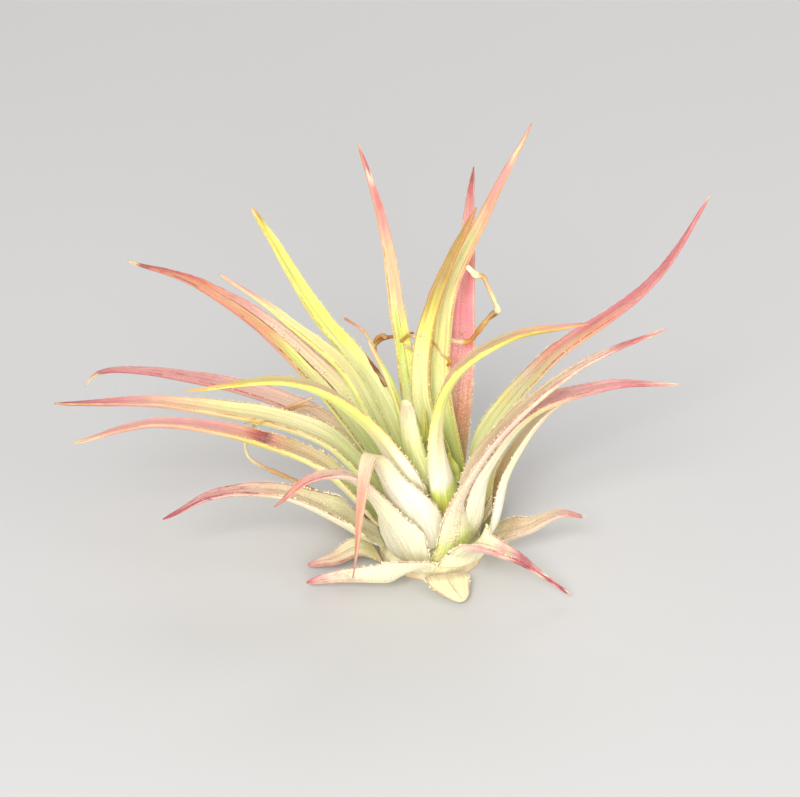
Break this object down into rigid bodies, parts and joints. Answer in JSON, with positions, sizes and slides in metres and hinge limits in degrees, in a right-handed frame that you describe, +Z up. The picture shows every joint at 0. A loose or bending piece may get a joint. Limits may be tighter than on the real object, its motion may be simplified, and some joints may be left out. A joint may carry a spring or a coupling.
{
  "type": "air plant",
  "caption": "Small bare air plant: a rosette of channelled, tapering, silvery leaves flushed yellow, pink and red, with dry threads, standing on the flat foot of its short stem.",
  "frame": {"origin": "middle of the stem's flat foot, which lies on the surface that the plant stands on", "axes": "+Z up, +X along the plant's widest way, -Y towards the side that the picture shows"},
  "size_m": [0.0828, 0.0544, 0.0522],
  "materials": {
    "stem": "matte",
    "leaf_cream": "matte",
    "leaf_pink": "matte",
    "leaf_coral": "matte",
    "leaf_yellow": "matte",
    "dry": "matte"
  },
  "bodies": {
    "root": {"stem": "stem", "leaf_low_left": "leaf_cream", "leaf_low_front_left": "leaf_cream", "leaf_low_front": "leaf_cream", "leaf_low_front_right": "leaf_pink", "leaf_low_right": "leaf_cream", "leaf_low_back_right": "leaf_cream", "leaf_low_back": "leaf_cream", "leaf_low_back_left": "leaf_cream", "leaf_arching_left": "leaf_pink", "leaf_arching_front_left": "leaf_pink", "leaf_sheath_front_right": "leaf_cream", "leaf_outer_right": "leaf_cream", "leaf_outer_back_right": "leaf_cream", "leaf_outer_back": "leaf_cream", "leaf_outer_back_left": "leaf_cream", "leaf_lower_long_left": "leaf_pink", "leaf_drooping_front": "leaf_coral", "leaf_red_right": "leaf_pink", "leaf_inner_back_right": "leaf_cream", "leaf_back_pink": "leaf_pink", "leaf_back_left_pink": "leaf_pink", "leaf_upper_long_left": "leaf_yellow", "leaf_long_right": "leaf_coral", "leaf_inner_back": "leaf_cream", "leaf_big_front_left": "leaf_yellow", "leaf_yellow_right": "leaf_yellow", "leaf_broad_coral": "leaf_coral", "leaf_tall_right": "leaf_pink", "leaf_blunt_front": "leaf_cream", "leaf_thin_left": "leaf_yellow", "leaf_tall_back": "leaf_pink", "leaf_yellow_left": "leaf_yellow", "leaf_olive_right": "leaf_yellow", "leaf_heart_left": "leaf_cream", "leaf_heart_right": "leaf_cream", "leaf_heart_back": "leaf_cream", "leaf_heart_front": "leaf_cream", "dry_thread_left": "dry", "dry_thread_right": "dry", "bare_root": "dry"}
  },
  "joints": []
}
